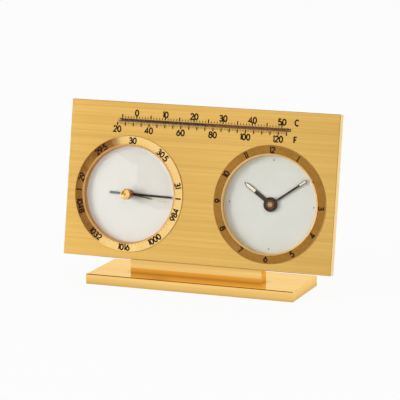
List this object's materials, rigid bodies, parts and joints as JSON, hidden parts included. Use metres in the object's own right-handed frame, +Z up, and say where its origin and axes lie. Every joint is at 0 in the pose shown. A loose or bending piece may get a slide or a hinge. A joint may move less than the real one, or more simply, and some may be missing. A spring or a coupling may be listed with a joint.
{
  "type": "desk weather station with clock",
  "caption": "Desk instrument: a leaning brass plate on a bar and base slab, with a liquid thermometer, an aneroid barometer with a set hand, and a spring-driven clock.",
  "frame": {"origin": "on the table, under the middle of the base slab", "axes": "+X to the viewer's right along the plate, -Y towards the viewer, +Z up"},
  "size_m": [0.165, 0.0557, 0.1049],
  "materials": {
    "brushed_brass": "brushed",
    "polished_brass": "polished",
    "polished_ring": "polished",
    "bronze_ring": "satin",
    "felt": "matte",
    "steel": "satin",
    "spring_steel": "polished",
    "clear_glass": "gloss",
    "fluid": "gloss",
    "wall_cream": "satin",
    "dial_white": "matte",
    "dial_grey": "matte",
    "case_metal": "satin",
    "movement_brass": "satin",
    "capsule_silver": "satin",
    "hand_black": "satin",
    "hub_bronze": "satin",
    "key_brass": "polished"
  },
  "bodies": {
    "stand": {"base_slab": "polished_brass", "base_felt": "felt", "support_bar": "polished_brass", "stand_screws": "steel", "front_plate": "brushed_brass", "small_screws": "steel", "thermometer_tube": "clear_glass", "thermometer_fluid": "fluid", "tube_clips": "steel", "barometer_ring": "polished_ring", "clock_ring": "bronze_ring", "barometer_glass": "clear_glass", "clock_glass": "clear_glass", "dial_walls": "wall_cream", "barometer_dial": "dial_white", "clock_dial": "dial_grey", "barometer_case": "case_metal", "clock_case": "case_metal", "barometer_cover": "case_metal", "clock_cover": "case_metal", "movement_pillars": "movement_brass", "barometer_front_plate": "movement_brass", "barometer_base_plate": "movement_brass", "arbor_bridge": "movement_brass", "needle_hairspring": "spring_steel", "aneroid_capsule": "capsule_silver", "set_bush": "polished_brass", "clock_front_plate": "movement_brass", "clock_back_plate": "movement_brass", "balance_spring": "spring_steel"},
    "needle": {"barometer_needle": "hand_black", "needle_arbor": "spring_steel"},
    "sector": {"sector_gear": "movement_brass"},
    "rocker": {"rocking_shaft": "spring_steel"},
    "post": {"capsule_post": "spring_steel"},
    "set_pointer": {"set_hand": "polished_brass", "set_knob": "polished_brass"},
    "adjuster": {"adjusting_screw": "movement_brass"},
    "minute": {"minute_hand": "hand_black", "hand_nut": "hub_bronze", "cannon_pinion": "spring_steel", "centre_wheel": "movement_brass", "setting_knob": "movement_brass"},
    "hour": {"hour_hand": "hand_black", "hour_wheel": "movement_brass"},
    "minute_transfer": {"minute_wheel": "movement_brass"},
    "intermediate": {"intermediate_wheel": "movement_brass"},
    "barrel": {"mainspring_barrel": "movement_brass", "mainspring": "spring_steel"},
    "third": {"third_wheel": "movement_brass"},
    "fourth": {"fourth_wheel": "movement_brass"},
    "escape": {"escape_wheel": "movement_brass"},
    "winding": {"barrel_arbor": "spring_steel", "ratchet_wheel": "spring_steel", "winding_key": "key_brass"},
    "click": {"click": "spring_steel"},
    "pallet": {"pallet_fork": "spring_steel"},
    "balance": {"balance_wheel": "movement_brass"},
    "regulator": {"regulator_lever": "spring_steel"}
  },
  "joints": [
    {"name": "needle_turn", "type": "hinge", "parent": "stand", "child": "needle", "pos_m": [-0.0434, -0.00504, 0.05203], "axis": [0, -0.9848, 0.1736], "range_deg": [-180, 0]},
    {"name": "sector_turn", "type": "hinge", "parent": "stand", "child": "sector", "pos_m": [-0.0534, -0.00504, 0.05203], "axis": [0, -0.9848, 0.1736], "range_deg": [0, 20]},
    {"name": "rocker_turn", "type": "hinge", "parent": "stand", "child": "rocker", "pos_m": [-0.0534, 0.01049, 0.05025], "axis": [1, 0, 0], "range_deg": [0, 13.4]},
    {"name": "post_slide", "type": "slide", "parent": "stand", "child": "post", "axis": [0, -0.9848, 0.1736], "range_m": [-0.0006, 0]},
    {"name": "set_pointer_turn", "type": "hinge", "parent": "stand", "child": "set_pointer", "pos_m": [-0.0434, -0.00504, 0.05203], "axis": [0, -0.9848, 0.1736], "continuous": true},
    {"name": "adjuster_turn", "type": "hinge", "parent": "stand", "child": "adjuster", "pos_m": [-0.0529, -0.00532, 0.0504], "axis": [0, -0.9848, 0.1736], "range_deg": [-180, 180]},
    {"name": "minute_turn", "type": "hinge", "parent": "stand", "child": "minute", "pos_m": [0.0434, -0.00504, 0.05203], "axis": [0, -0.9848, 0.1736], "continuous": true},
    {"name": "hour_turn", "type": "hinge", "parent": "stand", "child": "hour", "pos_m": [0.0434, -0.00504, 0.05203], "axis": [0, -0.9848, 0.1736], "continuous": true},
    {"name": "minute_wheel_turn", "type": "hinge", "parent": "stand", "child": "minute_transfer", "pos_m": [0.04135, -0.00602, 0.04647], "axis": [0, -0.9848, 0.1736], "continuous": true},
    {"name": "intermediate_turn", "type": "hinge", "parent": "stand", "child": "intermediate", "pos_m": [0.03498, -0.00448, 0.05516], "axis": [0, -0.9848, 0.1736], "continuous": true},
    {"name": "barrel_turn", "type": "hinge", "parent": "stand", "child": "barrel", "pos_m": [0.03293, -0.00685, 0.04172], "axis": [0, -0.9848, 0.1736], "continuous": true},
    {"name": "third_turn", "type": "hinge", "parent": "stand", "child": "third", "pos_m": [0.05029, -0.00403, 0.05772], "axis": [0, -0.9848, 0.1736], "continuous": true},
    {"name": "fourth_turn", "type": "hinge", "parent": "stand", "child": "fourth", "pos_m": [0.05592, -0.00485, 0.05307], "axis": [0, -0.9848, 0.1736], "continuous": true},
    {"name": "escape_turn", "type": "hinge", "parent": "stand", "child": "escape", "pos_m": [0.05751, -0.00588, 0.04725], "axis": [0, -0.9848, 0.1736], "continuous": true},
    {"name": "winding_turn", "type": "hinge", "parent": "stand", "child": "winding", "pos_m": [0.03293, -0.00685, 0.04172], "axis": [0, -0.9848, 0.1736], "range_deg": [0, 1710]},
    {"name": "click_turn", "type": "hinge", "parent": "stand", "child": "click", "pos_m": [0.03663, -0.00574, 0.04803], "axis": [0, -0.9848, 0.1736], "range_deg": [0, 14], "stiffness_Nm_per_rad": 0.0002, "springref_deg": -5.73},
    {"name": "pallet_turn", "type": "hinge", "parent": "stand", "child": "pallet", "pos_m": [0.05594, -0.00663, 0.04299], "axis": [0, -0.9848, 0.1736], "range_deg": [-5, 5]},
    {"name": "balance_turn", "type": "hinge", "parent": "stand", "child": "balance", "pos_m": [0.05388, -0.00761, 0.03744], "axis": [0, -0.9848, 0.1736], "range_deg": [-270, 270], "stiffness_Nm_per_rad": 0.000002},
    {"name": "regulator_turn", "type": "hinge", "parent": "stand", "child": "regulator", "pos_m": [0.05388, -0.00761, 0.03744], "axis": [0, -0.9848, 0.1736], "range_deg": [-22, 22]}
  ],
  "couplings": [
    {"joint": "sector_turn", "follows": "needle_turn", "ratio": -0.11111},
    {"joint": "rocker_turn", "follows": "needle_turn", "ratio": -0.074444},
    {"joint": "post_slide", "follows": "needle_turn", "m_per_rad": 0.00019098},
    {"joint": "hour_turn", "follows": "minute_turn", "ratio": 0.083333},
    {"joint": "minute_wheel_turn", "follows": "minute_turn", "ratio": -0.33333},
    {"joint": "intermediate_turn", "follows": "minute_turn", "ratio": -0.2},
    {"joint": "barrel_turn", "follows": "minute_turn", "ratio": 0.03},
    {"joint": "third_turn", "follows": "minute_turn", "ratio": -8},
    {"joint": "escape_turn", "follows": "fourth_turn", "ratio": -7.5}
  ]
}
